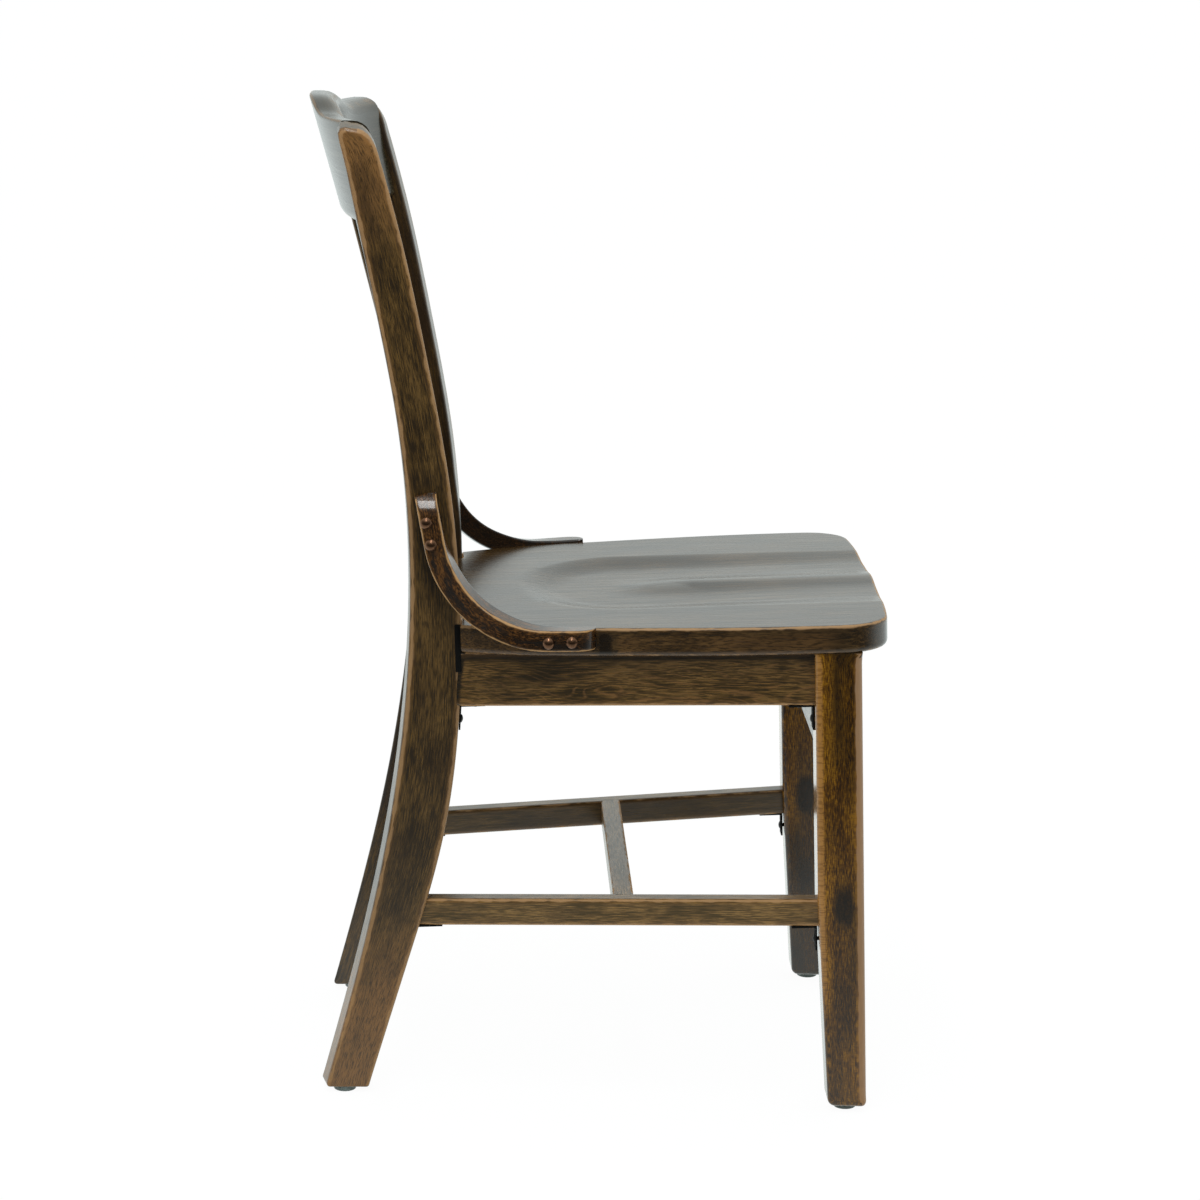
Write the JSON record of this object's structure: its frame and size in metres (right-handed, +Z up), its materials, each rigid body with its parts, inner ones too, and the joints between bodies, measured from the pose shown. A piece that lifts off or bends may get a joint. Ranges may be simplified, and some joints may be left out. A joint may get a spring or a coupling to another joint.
{
  "type": "dining chair",
  "caption": "Wooden side chair with a scooped plank seat, bowed crest rail, slatted back, bent hip braces, H stretcher and steel corner brackets.",
  "frame": {"origin": "on the floor under the middle of the chair's bounding box", "axes": "+Z up, the chair faces -Y, +X is the sitter's left"},
  "size_m": [0.4472, 0.5289, 0.904],
  "materials": {
    "frame_wood": "dark brown stain, edges rubbed to amber, satin lacquer",
    "brace_wood": "reddish brown stain, rubbed edges, satin lacquer",
    "dowel_wood": "bare beech",
    "bolt_bronze": "polished dark bronze",
    "bracket_steel": "black, semi-gloss",
    "screw_steel": "blackened steel",
    "zinc_steel": "zinc plated",
    "glide_plastic": "matt grey"
  },
  "bodies": {
    "root": {"apron_bracket_front_left": "bracket_steel", "apron_bracket_front_right": "bracket_steel", "apron_bracket_rear_left": "bracket_steel", "apron_bracket_rear_right": "bracket_steel", "back_post_left": "frame_wood", "back_post_right": "frame_wood", "back_slat_centre": "frame_wood", "back_slat_left": "frame_wood", "back_slat_right": "frame_wood", "bracket_screws": "screw_steel", "crest_dowels": "dowel_wood", "crest_rail": "frame_wood", "cross_stretcher": "frame_wood", "cross_stretcher_dowels": "dowel_wood", "front_apron": "frame_wood", "front_apron_dowels": "dowel_wood", "front_leg_left": "frame_wood", "front_leg_right": "frame_wood", "glide_front_left": "glide_plastic", "glide_front_right": "glide_plastic", "glide_nails": "zinc_steel", "glide_rear_left": "glide_plastic", "glide_rear_right": "glide_plastic", "hip_brace_bolts_left": "bolt_bronze", "hip_brace_bolts_right": "bolt_bronze", "hip_brace_left": "brace_wood", "hip_brace_right": "brace_wood", "lower_back_rail": "frame_wood", "lower_back_rail_dowels": "dowel_wood", "rear_apron": "frame_wood", "rear_apron_dowels": "dowel_wood", "seat": "frame_wood", "seat_plate_left": "bracket_steel", "seat_plate_right": "bracket_steel", "seat_screws": "zinc_steel", "side_apron_dowels": "dowel_wood", "side_apron_left": "frame_wood", "side_apron_right": "frame_wood", "side_stretcher_dowels": "dowel_wood", "side_stretcher_left": "frame_wood", "side_stretcher_right": "frame_wood", "stretcher_bracket_front_left": "bracket_steel", "stretcher_bracket_front_right": "bracket_steel", "stretcher_bracket_rear_left": "bracket_steel", "stretcher_bracket_rear_right": "bracket_steel"}
  },
  "joints": []
}
